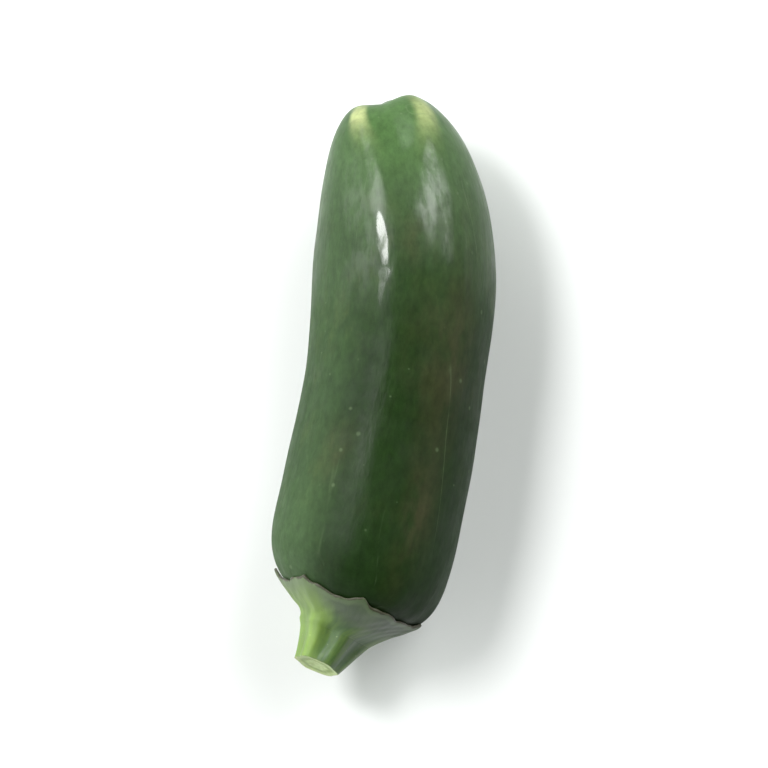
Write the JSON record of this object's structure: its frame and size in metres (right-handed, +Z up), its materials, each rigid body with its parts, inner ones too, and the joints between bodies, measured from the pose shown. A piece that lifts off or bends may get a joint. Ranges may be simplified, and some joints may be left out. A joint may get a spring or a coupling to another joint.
{
  "type": "chilli pepper",
  "caption": "Whole green jalapeno chilli pepper lying on its side, a bent blunt-tipped pod with a toothed green cap and a short cut stem.",
  "frame": {"origin": "on the surface that the pepper lies on, under the middle of its box", "axes": "+Y from the stem end to the tip, +X towards the side that the pod bulges to, +Z up"},
  "size_m": [0.0314, 0.0824, 0.0256],
  "materials": {
    "skin": "dark green waxy skin, glossy, with paler yellow-green lobe ends and faint bronze patches",
    "calyx": "mid green, satin, with a thin brown dried edge",
    "stem": "yellow-green, satin, ribbed, with a pale cut end"
  },
  "bodies": {
    "root": {"pod": "skin", "calyx": "calyx", "stem": "stem"}
  },
  "joints": []
}
